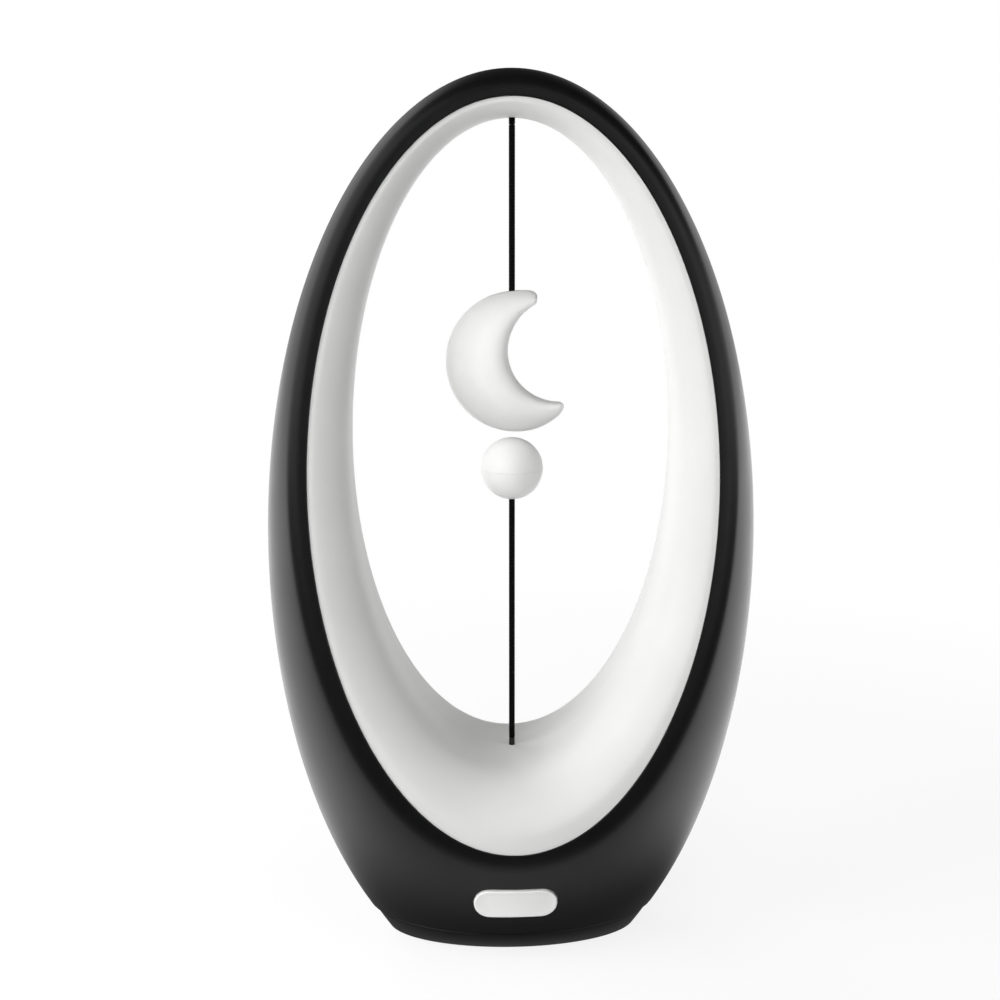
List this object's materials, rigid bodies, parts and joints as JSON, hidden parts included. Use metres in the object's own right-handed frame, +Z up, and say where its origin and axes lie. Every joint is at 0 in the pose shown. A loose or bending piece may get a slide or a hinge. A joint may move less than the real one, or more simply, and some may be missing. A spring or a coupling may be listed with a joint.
{
  "type": "magnetic balance table lamp",
  "caption": "Oval hoop lamp on a low weighted foot. A crescent hangs on a string in the hoop above a ball that stands up on its own string, held by magnets.",
  "frame": {"origin": "on the table under the middle of the foot, in the lamp's two planes of symmetry", "axes": "+Z up along the hoop's long axis, -Y out of the front with the button, +X to the right as seen from the front"},
  "size_m": [0.1362, 0.0616, 0.245],
  "materials": {
    "shell_black": "satin black, painted or moulded in colour",
    "lining_white": "satin opal white light diffuser",
    "button_white": "smooth white",
    "ball_white": "satin white",
    "moon_white": "satin white",
    "cord_black": "black braided string",
    "carrier_white": "moulded white",
    "strip_white": "white strip with LED chips",
    "wire": "insulated wire",
    "board": "green circuit board",
    "part_black": "moulded black",
    "pad_rubber": "soft black pad",
    "steel": "plain steel",
    "magnet": "plated magnet"
  },
  "bodies": {
    "stand": {"front_shell": "shell_black", "rear_shell": "shell_black", "front_diffuser": "lining_white", "rear_diffuser": "lining_white", "led_carrier": "carrier_white", "led_strip": "strip_white", "led_lead": "wire", "base_cover": "shell_black", "foot_pad": "pad_rubber", "counterweight": "steel", "main_board": "board", "driver_chip": "part_black", "lead_plug": "carrier_white", "usb_shell": "steel", "usb_tongue": "part_black", "tact_switch": "part_black", "switch_column": "part_black", "micro_switch": "part_black", "return_spring": "steel", "cord_anchor": "part_black", "base_screw_1": "steel", "base_screw_2": "steel", "base_screw_3": "steel", "base_screw_4": "steel", "board_screw_1": "steel", "board_screw_2": "steel", "board_screw_3": "steel", "board_screw_4": "steel", "weight_screw_1": "steel", "weight_screw_2": "steel", "column_screw_1": "steel", "column_screw_2": "steel"},
    "button": {"mode_button": "button_white", "tact_plunger": "part_black"},
    "rod": {"pull_rod": "part_black"},
    "lever": {"switch_lever": "steel"},
    "lower_tie": {"lower_knot": "cord_black"},
    "ball": {"lower_cord": "cord_black", "ball_lower": "ball_white", "ball_upper": "ball_white", "ball_magnet": "magnet", "ball_knot": "cord_black"},
    "upper_tie": {"upper_knot": "cord_black"},
    "upper_string": {"upper_cord": "cord_black", "moon_knot": "cord_black"},
    "moon": {"moon_front": "moon_white", "moon_rear": "moon_white", "moon_magnet": "magnet"}
  },
  "joints": [
    {"name": "button_press", "type": "slide", "parent": "stand", "child": "button", "axis": [0, 1, 0], "range_m": [0, 0.0008], "stiffness_N_per_m": 400},
    {"name": "string_pull", "type": "slide", "parent": "stand", "child": "rod", "axis": [0, 0, 1], "range_m": [-0.002, 0], "stiffness_N_per_m": 150, "springref_m": 0.0008, "deforming": ["return_spring"]},
    {"name": "lever_turn", "type": "hinge", "parent": "stand", "child": "lever", "pos_m": [-0.0062, 0, 0.0263], "axis": [0, 1, 0], "range_deg": [0, 18]},
    {"name": "ball_side_swing", "type": "hinge", "parent": "rod", "child": "lower_tie", "pos_m": [0, 0, 0.05965], "axis": [0, 1, 0], "range_deg": [-20, 20], "stiffness_Nm_per_rad": 0.02},
    {"name": "ball_fore_aft_swing", "type": "hinge", "parent": "lower_tie", "child": "ball", "pos_m": [0, 0, 0.05965], "axis": [1, 0, 0], "range_deg": [-85, 85], "stiffness_Nm_per_rad": 0.02},
    {"name": "moon_side_swing", "type": "hinge", "parent": "stand", "child": "upper_tie", "pos_m": [0, 0, 0.2319], "axis": [0, 1, 0], "range_deg": [-18, 18]},
    {"name": "moon_fore_aft_swing", "type": "hinge", "parent": "upper_tie", "child": "upper_string", "pos_m": [0, 0, 0.2319], "axis": [1, 0, 0], "range_deg": [-60, 60]},
    {"name": "moon_twist", "type": "hinge", "parent": "upper_string", "child": "moon", "pos_m": [0, 0, 0.1831], "axis": [0, 0, 1], "continuous": true}
  ],
  "couplings": [
    {"joint": "lever_turn", "follows": "string_pull", "rad_per_m": -154.5}
  ]
}
